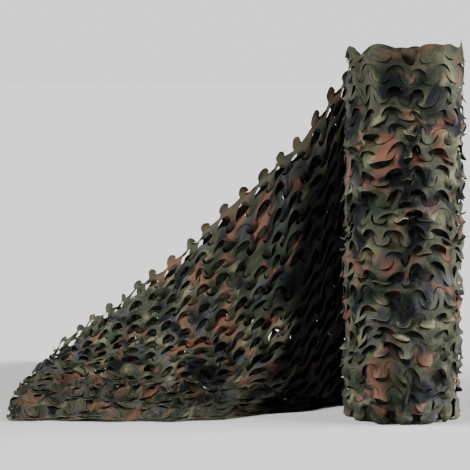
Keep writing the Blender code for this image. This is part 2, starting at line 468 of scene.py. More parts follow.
class Grower:
    """A Geometry Nodes tree with named inputs, whose result becomes a plain mesh."""

    label: str
    inputs: dict[str, str]

    def __init__(self) -> None:
        """Build the tree: its inputs, its own nodes, Realize Instances and Set Material."""
        self.tree = bpy.data.node_groups.new(self.label, "GeometryNodeTree")
        self.sockets: dict[str, str] = {}
        for name, kind in self.inputs.items():
            made = self.tree.interface.new_socket(name, in_out="INPUT", socket_type=f"NodeSocket{kind}")
            self.sockets[name] = made.identifier
        self.tree.interface.new_socket("Geometry", in_out="OUTPUT", socket_type="NodeSocketGeometry")
        bench = NodeBench(self.tree)
        outputs = bench.add("NodeGroupInput").outputs
        given = {name: Signal(bench, outputs[name]) for name in self.inputs}
        real = bench.get("GeometryNodeRealizeInstances", {0: self.wire(bench, given)})
        dressed = bench.get("GeometryNodeSetMaterial", {"Geometry": real, "Material": given["Material"]})
        bench.add("NodeGroupOutput", {0: dressed})

    def wire(self, bench: NodeBench, given: dict[str, Signal]) -> Signal:
        """Add the tree's own nodes to the bench, from its inputs, and return the shape."""
        raise NotImplementedError

    def run(self, name: str, values: dict[str, Any], start: bpy.types.Mesh | None = None) -> bpy.types.Mesh:
        """Run the tree.

        Args:
            name: The new mesh's name.
            values: The value of each named input.
            start: The mesh that the tree starts from, if it needs one.

        Returns:
            The result as a plain mesh.
        """
        holder = in_scene(f"{name}_holder", start or bpy.data.meshes.new(f"{name}_seed"))
        modifier = holder.modifiers.new("nodes", "NODES")
        modifier.node_group = self.tree
        for label, value in values.items():
            modifier[self.sockets[label]] = value
        return plain_mesh(holder, name)


# ---------------------------------------------------------------- the cut


@dataclass(frozen=True)
class Cut:
    """Sizes of the die cut: arch and bowl slits that hook into each other along each row."""

    width: float = 1.50
    pitch_along: float = 0.100
    pitch_across: float = 0.080
    first_row: float = 0.016
    leaf_radius: float = 0.0365
    leg_angle: float = math.radians(20)
    slit: float = 0.0030
    steps: int = 12
    row_steps: int = 8
    grain: float = 0.0125
    nearest: float = 0.45
    neck_dip: float = 0.012
    foot_disc: float = 0.036
    top_disc: float = 0.018
    top_level: float = -0.013
    top_disc_stretch: float = 1.35
    disc_neck: float = math.radians(48)
    disc_step: float = math.radians(18)
    edge_dip: float = 0.006
    edge_sag: float = 0.3
    rim_above: float = 0.044
    rim_steps: int = 14

    @property
    def leg_depth(self) -> float:
        """Return how far a slit's ends reach past its centre line."""
        return self.leaf_radius * math.sin(self.leg_angle)

    @property
    def leaf_length(self) -> float:
        """Return a leaf's length from its neck to its round end."""
        return self.leaf_radius + self.leg_depth + self.neck_dip


class TileKind(Enum):
    """Which stretch of the cut cloth a tile covers."""

    MIDDLE = "middle"
    FOOT = "foot"
    TABS = "tabs"
    RIM = "rim"


@dataclass
class NetTile:
    """One period of the cut pattern, as a flat mesh with its leaves marked."""

    cut: Cut
    kind: TileKind
    points: list[Vector] = field(default_factory=list)
    marks: list[tuple[float, float]] = field(default_factory=list)
    holes: list[list[int]] = field(default_factory=list)

    def add(self, x: float, y: float, arch: float | None = None, bowl: float | None = None) -> int:
        """Add one point.

        Args:
            x: Its place along the cloth.
            y: Its place across the cloth, from the row's centre line.
            arch: 1 if it is on a leaf inside an arch slit, 0 if not, None to work it out.
            bowl: The same for a bowl slit.

        Returns:
            The point's number.
        """
        pitch = self.cut.pitch_along
        radius = self.cut.leaf_radius - self.cut.slit / 2
        if arch is None:
            arch = float(min(math.hypot(x, y), math.hypot(x - pitch, y)) < radius)
        if bowl is None:
            bowl = float(math.hypot(x - pitch / 2, y) < radius)
        self.points.append(Vector((x, y)))
        self.marks.append((arch, bowl))
        return len(self.points) - 1

    def line(self, start: tuple[float, float], end: tuple[float, float], count: int) -> list[int]:
        """Add evenly spaced points on a line, both ends among them.

        Args:
            start: The first point.
            end: The last point.
            count: How many stretches lie between them.

        Returns:
            The points' numbers.
        """
        shares = [step / count for step in range(count + 1)]
        return [self.add(start[0] + (end[0] - start[0]) * t, start[1] + (end[1] - start[1]) * t)
                for t in shares]

    def slit(self, centre: float, hangs: bool, first: int, last: int) -> tuple[list[int], list[int]]:
        """Add part of one C-shaped slit.

        Args:
            centre: Its centre along the cloth.
            hangs: True for a bowl, whose leaf hangs from above.
            first: The first step of its arc.
            last: The last step of its arc.

        Returns:
            The numbers of the points on its outer side and on its leaf's side. A tip is in both.
        """
        cut = self.cut
        side = -1.0 if hangs else 1.0
        sweep = math.pi + 2 * cut.leg_angle
        outer: list[int] = []
        inner: list[int] = []
        for step in range(first, last + 1):
            share = step / cut.steps
            angle = -cut.leg_angle + share * sweep
            for numbers, gap, mark in ((outer, 0.0, 0.0), (inner, cut.slit, 1.0)):
                if numbers is inner and step in (0, cut.steps):
                    numbers.append(outer[-1])
                    continue
                radius = side * (cut.leaf_radius - gap * math.sin(math.pi * share))
                marks = {"bowl": mark} if hangs else {"arch": mark}
                numbers.append(self.add(centre + radius * math.cos(angle), radius * math.sin(angle), **marks))
        return outer, inner

    def sides(self, low: float, high: float) -> tuple[list[int], list[int]]:
        """Add points on both sides of the tile, strictly between two heights.

        Args:
            low: The lower height.
            high: The upper height.

        Returns:
            The points up the right side, and those down the left side.
        """
        step = self.cut.grain
        heights = [-self.cut.pitch_across / 2 + step * number for number in range(1, self.cut.row_steps)]
        kept = [y for y in heights if low + step / 3 < y < high - step / 3]
        right, left = ([self.add(x, y) for y in kept] for x in (self.cut.pitch_along, 0.0))
        return right, left[::-1]

    def disc(self, centre: tuple[float, float], size: tuple[float, float], start: float,
             sweep: float) -> list[int]:
        """Add part of the rim of a disc that stands or hangs at the cloth's edge.

        Args:
            centre: The disc's centre.
            size: The disc's radius along the cloth and across it.
            start: The angle at which the rim starts.
            sweep: How far round it goes, anticlockwise.

        Returns:
            The points' numbers.
        """
        count = max(3, round(sweep / self.cut.disc_step))
        angles = [start + sweep * step / count for step in range(count + 1)]
        return [self.add(centre[0] + size[0] * math.cos(angle), centre[1] + size[1] * math.sin(angle))
                for angle in angles]

    def foot_outline(self) -> list[int]:
        """Add the outline of a tile at the foot, whose lower edge ends in one hanging disc.

        Returns:
            The points' numbers, anticlockwise.
        """
        cut = self.cut
        pitch, half = cut.pitch_along, cut.pitch_across / 2
        start = math.pi - cut.disc_neck
        rim = self.disc((pitch / 2, 0.0), (cut.foot_disc,) * 2, start, math.pi + 2 * cut.disc_neck)
        neck = self.points[rim[0]]
        low = neck.y + cut.edge_dip
        sagging = low - cut.edge_sag * cut.edge_dip
        left = [self.add(0.0, low), self.add(neck.x / 2, sagging)]
        right = [self.add(pitch - neck.x / 2, sagging), self.add(pitch, low)]
        top = self.line((pitch, half), (0.0, half), cut.row_steps)
        up, down = self.sides(low, half)
        return [*left, *rim, *right, *up, *top, *down]

    def tabs_outline(self) -> list[int]:
        """Add the outline of a tile at the upper edge, which ends in one standing disc, cut in two.

        Returns:
            The points' numbers, anticlockwise.
        """
        cut = self.cut
        pitch, low = cut.pitch_along, -cut.pitch_across / 2
        half_sweep = math.pi / 2 + cut.disc_neck
        size = (cut.top_disc_stretch * cut.top_disc, cut.top_disc)
        right_rim = self.disc((pitch, cut.top_level), size, math.pi / 2, half_sweep)
        left_rim = self.disc((0.0, cut.top_level), size, -cut.disc_neck, half_sweep)
        dipped = self.points[left_rim[0]].y - cut.edge_dip / 2
        sagging = dipped + cut.edge_sag * cut.edge_dip
        levels = ((0.75, sagging), (0.5, dipped), (0.25, sagging))
        between = [self.add(share * pitch, y) for share, y in levels]
        bottom = self.line((0.0, low), (pitch, low), cut.row_steps)
        up, down = self.sides(low, cut.top_level + cut.top_disc)
        return [*bottom, *up, *right_rim, *between, *left_rim, *down]

    def outline(self) -> list[int]:
        """Add the tile's outline, and its slits as holes where it has any.

        Returns:
            The outline's numbers, anticlockwise.
        """
        if self.kind is TileKind.FOOT:
            return self.foot_outline()
        if self.kind is TileKind.TABS:
            return self.tabs_outline()
        cut = self.cut
        pitch, half = cut.pitch_along, cut.pitch_across / 2
        outer_bowl, inner_bowl = self.slit(pitch / 2, True, 0, cut.steps)
        self.holes.append(outer_bowl + inner_bowl[-2:0:-1])
        bottom = self.line((0.0, -half), (pitch, -half), cut.row_steps)
        if self.kind is TileKind.RIM:
            top = self.line((pitch, cut.rim_above), (0.0, cut.rim_above), cut.rim_steps)
            up, down = self.sides(-half, cut.rim_above)
            return [*bottom, *up, *top, *down]
        middle = cut.steps // 2
        outer_left, inner_left = self.slit(0.0, False, 0, middle)
        outer_right, inner_right = self.slit(pitch, False, middle, cut.steps)
        up, down = self.sides(-half, cut.leaf_radius - cut.slit)
        top = self.line((pitch, half), (0.0, half), cut.row_steps)
        upper = [*inner_right, *outer_right[-2::-1], *top, *outer_left[:0:-1], *inner_left]
        return [*bottom, *up, *upper, *down]

    def fill_grain(self) -> None:
        """Add an even grid of points wherever none is near."""
        cut = self.cut
        foot = -cut.pitch_across / 2
        top = cut.rim_above if self.kind is TileKind.RIM else -foot
        taken = np.array([tuple(point) for point in self.points])
        for row in range(int((top - foot) / cut.grain)):
            y = foot + cut.grain * (row + 0.5)
            for column in range(int(cut.pitch_along / cut.grain)):
                x = cut.grain * (column + 0.5 + 0.5 * (row % 2))
                off = np.hypot(taken[:, 0] - x, taken[:, 1] - y).min()
                if x <= cut.pitch_along - cut.grain / 3 and off > cut.nearest * cut.grain:
                    self.add(x, y)

    def build(self) -> bpy.types.Object:
        """Fill the tile with triangles.

        Returns:
            The tile as an object that is not in the scene.
        """
        outline = self.outline()
        self.fill_grain()
        loops = [outline, *self.holes]
        lines = [(a, b) for loop in loops for a, b in zip(loop, loop[1:] + loop[:1])]
        found = delaunay_2d_cdt(self.points, lines, loops, 0, TINY, True)
        points, triangles, sources, inside = found[0], found[2], found[3], found[5]
        kept = [tri for tri, source in zip(triangles, inside) if list(source) == [0]]
        mesh = bpy.data.meshes.new(f"tile_{self.kind.value}")
        mesh.from_pydata([(p.x, p.y, 0.0) for p in points], [], kept)
        marks = np.array([self.marks[source[0]] for source in sources])
        store(mesh, ARCH, marks[:, 0])
        store(mesh, BOWL, marks[:, 1])
        return bpy.data.objects.new(mesh.name, mesh)


class TileLayer(Grower):
    """Geometry Nodes that lay tiles in rows and columns and join them into one cloth."""

    label = "lay tiles"
    inputs = {"Columns": "Int", "Rows": "Int", "Pitch Along": "Float", "Pitch Across": "Float",
              "Foot Tile": "Object", "Middle Tile": "Object", "Top Tile": "Object", "Material": "Material"}

    def wire(self, bench: NodeBench, given: dict[str, Signal]) -> Signal:
        """Add a grid of points, a tile on each by its row, and the join.

        Args:
            bench: The tree's bench.
            given: The tree's inputs by name.

        Returns:
            The cloth.
        """
        columns, rows = given["Columns"], given["Rows"]
        along, across = given["Pitch Along"], given["Pitch Across"]
        length, width = (columns - 1.0) * along, (rows - 1.0) * across
        grid = bench.get("GeometryNodeMeshGrid", {
            "Size X": length, "Size Y": width, "Vertices X": columns, "Vertices Y": rows})
        corner = bench.get("ShaderNodeCombineXYZ", {"X": length * 0.5, "Y": width * 0.5})
        moved = bench.get("GeometryNodeSetPosition", {"Geometry": grid, "Offset": corner})
        place = bench.get("GeometryNodeInputPosition")
        height = bench.get("ShaderNodeSeparateXYZ", {0: place}, "Y")
        is_foot = height < across * 0.5
        is_top = height > width - across * 0.5
        chosen = {"Foot Tile": is_foot, "Middle Tile": 1.0 - is_foot - is_top, "Top Tile": is_top}
        joined = bench.add("GeometryNodeJoinGeometry")
        for name, selection in chosen.items():
            tile = bench.get("GeometryNodeObjectInfo", {"Object": given[name]}, "Geometry")
            laid = bench.get("GeometryNodeInstanceOnPoints", {
                "Points": moved, "Instance": tile, "Selection": selection})
            bench.feed(joined, {0: laid})
        real = bench.get("GeometryNodeRealizeInstances", {0: Signal(bench, joined.outputs[0])})
        return bench.get("GeometryNodeMergeByDistance", {"Geometry": real, "Distance": 20 * TINY})


# ---------------------------------------------------------------- forms


def ramp(values: Array, start: float, reach: float, low: float = 0.0) -> Array:
    """Return how far values have gone from start, 0, to start + reach, 1, held above low and below 1."""
    return np.clip((values - start) / reach, low, 1.0)


@dataclass(frozen=True)
class Waves:
    """Uneven soft swells: a fixed sum of plane waves over the flat cloth."""

    seed: int
    height: float
    shortest: float
    longest: float
    count: int = 14

    def at(self, s: Array, w: Array) -> Array:
        """Work out the swell.

        Args:
            s: Places along the flat cloth.
            w: Places across it.

        Returns:
            How far each place stands out.
        """
        rng = np.random.default_rng(self.seed)
        total = np.zeros_like(s)
        for _ in range(self.count):
            length = self.shortest * (self.longest / self.shortest) ** rng.random()
            heading, phase = rng.random(2) * TURN
            run = TURN / length * (s * math.cos(heading) + w * math.sin(heading))
            total += np.sin(run + phase) * length / self.longest
        return self.height * total / math.sqrt(self.count / 2)


@dataclass(frozen=True)
class Hinge:
    """One kind of leaf: its usual bend, its lip, and the rows and leaves with a bend of their own.

    Bends are angles between a leaf's neck and its round end, positive out of the cloth. A lip is
    how far the cloth round a slit's crown stands out.
    """

    hangs: bool
    bend: float
    lip: float = 0.0
    own_rows: dict[int, float] = field(default_factory=dict)
    own_leaves: dict[tuple[int, int], float] = field(default_factory=dict)


@dataclass(frozen=True)
class LeafCurl:
    """How the leaves of one stretch of net bend out of it, each by its own amount."""

    cut: Cut
    seed: int
    hinges: tuple[Hinge, Hinge]
    spread: float = 0.40
    limit: float = 1.9
    least: float = 0.01
    border: int = 3
    cup: float = 0.012
    dome: float = 0.0
    twist: float = 0.22
    twist_tails: float = 2.5
    most_twist: float = 1.3
    ripple: float = 0.003
    ripple_rate: float = 3.2
    # Painted light and painted shade on each leaf, drawn at random, standing for how its tilt catches the
    # light.
    painted_leaf_light: float = 0.30
    most_painted_leaf_light: float = 0.55
    # Painted shade in a soft band round each slit, where the cut casts shade.
    slit_painted_shade: float = 0.0
    slit_shade_width: float = 0.10
    slit_shade_foot: float = 1.05
    lip_reach: float = 0.40
    narrowing: float = 0.06
    root_rate: float = 4.0
    shut: float = 0.0
    spare: float = 0.0
    own_least: float = 0.8
    own_range: float = 0.3
    own_turn: float = 0.3

    def bent(self, hinge: Hinge, s: Array, w: Array, marks: Array, pitch: float, calm: Array) -> Array:
        """Bend one kind of leaf.

        Args:
            hinge: The kind of leaf.
            s: Places along the cloth, from the start of its first tile.
            w: Places across it, from its first row's centre line.
            marks: 1 on the leaves to bend.
            pitch: The pitch along the cloth.
            calm: The share of the bend that each place keeps.

        Returns:
            Four rows: each point's move along the cloth, across it and out of it, and its painted light and
                shade.
        """
        cut = self.cut
        radius = cut.leaf_radius
        side, shift = (-1.0, 0.5) if hinge.hangs else (1.0, 0.0)
        column = np.rint(s / pitch - shift).astype(int)
        row = np.rint(w / cut.pitch_across).astype(int)
        rng = np.random.default_rng(self.seed + int(hinge.hangs))
        shape = (int(row.max()) + self.border, int(column.max()) + self.border)
        bend = np.clip(rng.normal(hinge.bend, self.spread, shape), -self.limit, self.limit)
        for own_row, own in hinge.own_rows.items():
            bend[own_row, :] = own * (self.own_least + self.own_range * rng.random(shape[1]))
        lean = self.twist * rng.standard_t(self.twist_tails, shape)
        lean = np.clip(lean, -self.most_twist, self.most_twist)
        cupped = rng.normal(-self.dome, self.cup, shape)
        phase = rng.random(shape) * TURN
        is_open = (rng.random(shape) >= self.shut).astype(float)
        # Each leaf's painted light and painted shade, drawn at random for its tilt.
        painted_leaf_light = np.clip(rng.normal(0.0, self.painted_leaf_light, shape), -self.most_painted_leaf_light, self.most_painted_leaf_light)
        for own_row in hinge.own_rows:
            is_open[own_row, :] = 1.0
            lean[own_row, :] *= self.own_turn
            cupped[own_row, :] *= self.own_turn
        for place, own in hinge.own_leaves.items():
            bend[place] = own
            is_open[place] = 1.0
        key = (np.clip(row, 0, None), np.clip(column, 0, None))
        painted_leaf_light_here = painted_leaf_light[key] * calm
        calm = calm * is_open[key]
        dx = (s - (column + shift) * pitch) / radius
        dy = side * (w - row * cut.pitch_across)
        neck = -cut.leg_depth - cut.neck_dip * np.clip(1 - dx ** 2, 0, 1)
        t = np.clip(dy - neck, 0.0, None) * marks
        reach = t / cut.leaf_length
        at_root = np.clip(self.root_rate * reach, 0.0, 1.0)
        turn = bend[key] * calm / cut.leaf_length
        turn = np.where(np.abs(turn) < self.least, self.least, turn)
        across = np.sin(turn * t) / turn - t + self.spare * t * np.abs(calm)
        wave = self.ripple * np.sin(self.ripple_rate * dx + phase[key])
        out = (1 - np.cos(turn * t)) / turn
        out += calm * reach * (cupped[key] * dx ** 2 + lean[key] * radius * dx + wave)
        off_cut = np.hypot(dx, dy / radius) - 1
        above = np.clip(dy / radius, 0.0, 1.0) * (1 - marks)
        out += calm * hinge.lip * above * np.exp(-(off_cut / self.lip_reach) ** 2)
        turned = 1 - 1 / np.sqrt(1 + (lean[key] * calm * reach) ** 2)
        along = (self.spare * calm * reach - self.narrowing * at_root - turned) * dx * radius
        # Painted shade round each slit, added to each leaf's painted light and shade, which grows from the
        # leaf's neck.
        at_cut = np.exp(-(off_cut / self.slit_shade_width) ** 2) * (dy > -self.slit_shade_foot * cut.leg_depth)
        return np.array((along, side * across, out, painted_leaf_light_here * at_root + self.slit_painted_shade * at_cut))

    def moves(self, s: Array, w: Array, marks: Array, pitch: float, calm: Array) -> Array:
        """Return what ``bent`` gives for both kinds of leaf together, from a row of marks for each."""
        return sum(self.bent(hinge, s, w, own, pitch, calm) for hinge, own in zip(self.hinges, marks))


@dataclass(frozen=True)
class RollForm:
    """The wound cloth's outer turn."""

    radius: float = 0.235
    turn_step: float = 0.006
    lip_angle: float = math.radians(110)

    @property
    def circumference(self) -> float:
        """Return the length of the outer turn."""
        return TURN * self.radius

    def place(self, s: Array, w: Array, out: Array) -> Array:
        """Wind cloth points round the roll.

        Args:
            s: Places along the cloth, from minus one turn to 0 at the lip.
            w: Places across it.
            out: How far each stands out of the roll.

        Returns:
            One row of x, y and z for each point.
        """
        angle = self.lip_angle + TURN * s / self.circumference
        radius = self.radius + self.turn_step * s / self.circumference + out
        return np.column_stack((radius * np.cos(angle), radius * np.sin(angle), w))


@dataclass(frozen=True)
class TailForm:
    """The loose end: upright at the lip, twisting down to the floor.

    Each station is a tenth of the length. Its front edge is on the floor, the cloth lies flat for
    a share of its width, and rises to its upper edge. ``bulge`` bows the row's middle to -X.
    """

    width: float = 1.50
    length: float = 2.00
    roll: RollForm = RollForm()
    rise_power: float = 1.35
    rise_curved_at: float = 0.2
    folds_full_after: float = 0.30
    nudge: float = 0.004
    columns: tuple[str, ...] = ("front_x", "front_y", "flat", "top_x", "top_y", "top_z", "bulge")
    stations: tuple[tuple[float, ...], ...] = (
        (-0.270, 0.140, 0.03, -0.215, 0.210, 1.405, 0.000),
        (-0.405, 0.045, 0.12, -0.330, 0.300, 1.215, 0.000),
        (-0.550, -0.020, 0.22, -0.475, 0.440, 1.070, 0.000),
        (-0.690, -0.105, 0.30, -0.640, 0.590, 0.890, 0.000),
        (-0.850, -0.140, 0.35, -0.800, 0.730, 0.725, 0.000),
        (-1.010, -0.160, 0.38, -0.960, 0.865, 0.560, 0.000),
        (-1.170, -0.170, 0.42, -1.120, 0.985, 0.410, 0.005),
        (-1.310, -0.155, 0.50, -1.280, 1.100, 0.295, 0.015),
        (-1.450, -0.150, 0.62, -1.430, 1.195, 0.190, 0.035),
        (-1.600, -0.140, 0.88, -1.560, 1.260, 0.035, 0.060),
    )
    fold_columns: tuple[str, ...] = ("from_s", "from_w", "to_s", "to_w", "half_width", "height")
    folds: tuple[tuple[float, ...], ...] = (
        (0.46, 1.50, 0.78, 0.42, 0.11, 0.024),
        (0.98, 1.50, 1.10, 0.55, 0.13, 0.028),
        (1.36, 1.50, 1.62, 0.30, 0.10, 0.022),
        (0.55, 0.30, 1.45, 0.42, 0.07, 0.018),
        (0.90, 0.16, 1.30, 0.22, 0.05, 0.012),
        (1.60, 0.85, 1.92, 1.05, 0.09, 0.020),
        (1.45, 0.10, 1.80, 0.22, 0.06, 0.012),
    )

    def station(self, s: Array) -> dict[str, Array]:
        """Read the table of stations on a smooth curve.

        Args:
            s: Places along the loose end.

        Returns:
            The values of each named column.
        """
        roll = self.roll
        lip = (roll.radius * math.cos(roll.lip_angle), roll.radius * math.sin(roll.lip_angle))
        rows = np.array([(*lip, 0.0, *lip, self.width, 0.0), *self.stations])
        last = len(rows) - 1
        at = np.clip(s / self.length, 0.0, 1.0) * last
        index = np.minimum(at.astype(int), last - 1)
        t = (at - index)[:, None]
        a, b, c, d = (rows[np.clip(index + step, 0, last)] for step in (-1, 0, 1, 2))
        bend = (2 * a - 5 * b + 4 * c - d) * t ** 2 + (3 * b - a - 3 * c + d) * t ** 3
        values = b + 0.5 * ((c - a) * t + bend)
        return dict(zip(self.columns, values.T))

    def fold_height(self, s: Array, w: Array) -> Array:
        """Work out the main folds.

        Args:
            s: Places along the cloth.
            w: Places across it.

        Returns:
            How far they lift each place.
        """
        total = np.zeros_like(s)
        for row in self.folds:
            fold = dict(zip(self.fold_columns, row))
            run_s, run_w = fold["to_s"] - fold["from_s"], fold["to_w"] - fold["from_w"]
            off_s, off_w = s - fold["from_s"], w - fold["from_w"]
            share = np.clip((off_s * run_s + off_w * run_w) / (run_s ** 2 + run_w ** 2), 0.0, 1.0)
            distance = np.hypot(off_s - share * run_s, off_w - share * run_w)
            total += fold["height"] * np.exp(-(distance / fold["half_width"]) ** 2)
        return total * ramp(s, 0.0, self.folds_full_after)

    def base(self, s: Array, w: Array) -> Array:
        """Lay cloth points on the loose end without its folds.

        Args:
            s: Places along the cloth.
            w: Places across it.

        Returns:
            One row of x, y and z for each point.
        """
        station = self.station(s)
        front = np.column_stack((station["front_x"], station["front_y"]))
        top = np.column_stack((station["top_x"], station["top_y"]))
        flat = np.maximum(station["flat"], TINY)
        reach = np.linalg.norm(top - front, axis=1)
        flat_reach = np.minimum(flat * self.width, reach)
        share = w / self.width
        rise = np.maximum(share - flat, 0.0) / (1 - flat)
        run = flat_reach * np.minimum(share / flat, 1.0) + (reach - flat_reach) * rise
        run = np.where(reach > 10 * TINY, run / np.maximum(reach, 10 * TINY), 0.0)
        plan = front + (top - front) * run[:, None]
        power = 1 + (self.rise_power - 1) * np.minimum(flat / self.rise_curved_at, 1.0)
        plan[:, 0] -= station["bulge"] * np.sin(math.pi * np.clip(share, 0.0, 1.0))
        return np.column_stack((plan, station["top_z"] * rise ** power))

    def upward(self, s: Array, w: Array) -> Array:
        """Find the side that faces the viewer and the sky.

        Args:
            s: Places along the cloth.
            w: Places across it.

        Returns:
            One unit vector for each point.
        """
        along = self.base(s + self.nudge, w) - self.base(np.maximum(s - self.nudge, 0.0), w)
        across = self.base(s, w + self.nudge) - self.base(s, w - self.nudge)
        found = np.cross(across, along)
        return found / np.maximum(np.linalg.norm(found, axis=1), TINY)[:, None]

    def place(self, s: Array, w: Array, out: Array) -> Array:
        """Lay cloth points on the loose end.

        Args:
            s: Places along the cloth from the lip.
            w: Places across it.
            out: How far each stands out towards the viewer and the sky.

        Returns:
            One row of x, y and z for each point.
        """
        lift = self.fold_height(s, w) + out
        return self.base(s, w) + self.upward(s, w) * lift[:, None]


# ---------------------------------------------------------------- pieces


@dataclass(frozen=True)
class Sides:
    """The finishes of the cloth's two sides and of its cut edge, in the order of its material slots."""

    outer: bpy.types.Material
    inner: bpy.types.Material
    cut_edge: bpy.types.Material


@dataclass
class NetPiece:
    """A stretch of the cut net, laid flat by Geometry Nodes and then shaped."""

    name: str
    curl: LeafCurl
    columns: int
    rows: int
    foot: TileKind
    top: TileKind
    length: float
    start: float = 0.0
    thickness: float = 0.0009
    floor: float = 0.0006
    map_margin: float = 0.01
    map_foot: float = 0.03
    map_spare: float = 0.04

    @property
    def cut(self) -> Cut:
        """Return the die cut's sizes."""
        return self.curl.cut

    @property
    def pitch(self) -> float:
        """Return the real pitch along this stretch."""
        return self.length / self.columns

    def flat_cloth(self, layer: TileLayer, material: bpy.types.Material) -> bpy.types.Mesh:
        """Lay the flat cut cloth.

        Args:
            layer: The tree that lays tiles.
            material: The cloth's finish.

        Returns:
            The flat cloth, its tiles joined.
        """
        kinds = dict.fromkeys((self.foot, TileKind.MIDDLE, self.top))
        tiles = {kind: NetTile(self.cut, kind).build() for kind in kinds}
        mesh = layer.run(self.name, {
            "Columns": self.columns, "Rows": self.rows,
            "Pitch Along": self.cut.pitch_along, "Pitch Across": self.cut.pitch_across,
            "Foot Tile": tiles[self.foot], "Middle Tile": tiles[TileKind.MIDDLE],
            "Top Tile": tiles[self.top], "Material": material})
        for tile in tiles.values():
            bpy.data.meshes.remove(tile.data)
        return mesh

    def shaped(self, s: Array, w: Array, marks: Array) -> tuple[Array, Array]:
        """Return the places in the world of the cloth's points, and each point's painted shade and light."""
        raise NotImplementedError

    def build(self, layer: TileLayer, sides: Sides) -> bpy.types.Object:
        """Make the piece.

        Args:
            layer: The tree that lays tiles.
            sides: The cloth's finishes.

        Returns:
            The finished object, at the origin.
        """
        mesh = self.flat_cloth(layer, sides.outer)
        flat = read(mesh.vertices, "co", 3).astype(float)
        marks = np.array([read(mesh.attributes[name].data, "value") for name in (ARCH, BOWL)], dtype=float)
        for name in (ARCH, BOWL):
            mesh.attributes.remove(mesh.attributes[name])
        s, w = flat[:, 0] * self.pitch / self.cut.pitch_along, flat[:, 1]
        places, hollow = self.shaped(s, w, marks)
        places[:, 2] = np.maximum(places[:, 2], self.floor)
        mesh.vertices.foreach_set("co", places.astype(np.float32).ravel())
        store(mesh, CLOTH, np.column_stack((s + self.start, w + self.cut.first_row, np.zeros_like(s))))
        # Store each point's painted shade and painted light for the print.
        store(mesh, PAINTED_SHADE_AND_LIGHT, np.clip(hollow, -1.0, 1.0))
        mesh.update()
        return self.thickened(mesh, sides)

    def thickened(self, mesh: bpy.types.Mesh, sides: Sides) -> bpy.types.Object:
        """Give the cloth its thickness and its bake map.

        Args:
            mesh: The shaped cloth, one layer.
            sides: The cloth's finishes.

        Returns:
            The finished object.
        """
        holder = in_scene(f"{self.name}_layer", mesh)
        mesh.materials.clear()
        for material in (sides.outer, sides.inner, sides.cut_edge):
            mesh.materials.append(material)
        solid = holder.modifiers.new("thickness", "SOLIDIFY")
        solid.thickness = self.thickness
        solid.offset = 0.0
        solid.material_offset = 1
        solid.material_offset_rim = 2
        thick = plain_mesh(holder, self.name)
        self.add_bake_map(thick)
        thick.shade_smooth()
        thick.set_sharp_from_angle(angle=SHARP)
        return in_scene(self.name, thick)

    def add_bake_map(self, mesh: bpy.types.Mesh) -> None:
        """Lay both sides of the cloth flat, side by side, in the map named by BAKE_MAP.

        Args:
            mesh: The finished cloth.
        """
        corners = read(mesh.loops, "vertex_index", kind=np.int32)
        cloth = read(mesh.attributes[CLOTH].data, "vector", 3)[corners]
        totals = read(mesh.polygons, "loop_total", kind=np.int32)
        is_inner = np.repeat(read(mesh.polygons, "material_index", kind=np.int32) == 1, totals)
        along = np.clip((cloth[:, 0] - self.start) / self.length, 0, 1)
        across = np.clip((cloth[:, 1] + self.map_foot) / (self.cut.width + self.map_spare), 0, 1)
        margin, inside = self.map_margin, 1 - 2 * self.map_margin
        places = np.column_stack((0.5 * (margin + inside * along) + 0.5 * is_inner, margin + inside * across))
        mesh.uv_layers.new(name=BAKE_MAP).uv.foreach_set("vector", places.astype(np.float32).ravel())


@dataclass(frozen=True)
class RimMark:
    """A dip in the roll's rim, or a rise where its depth is negative, at an angle in degrees."""

    at: float
    half_width: float
    depth: float


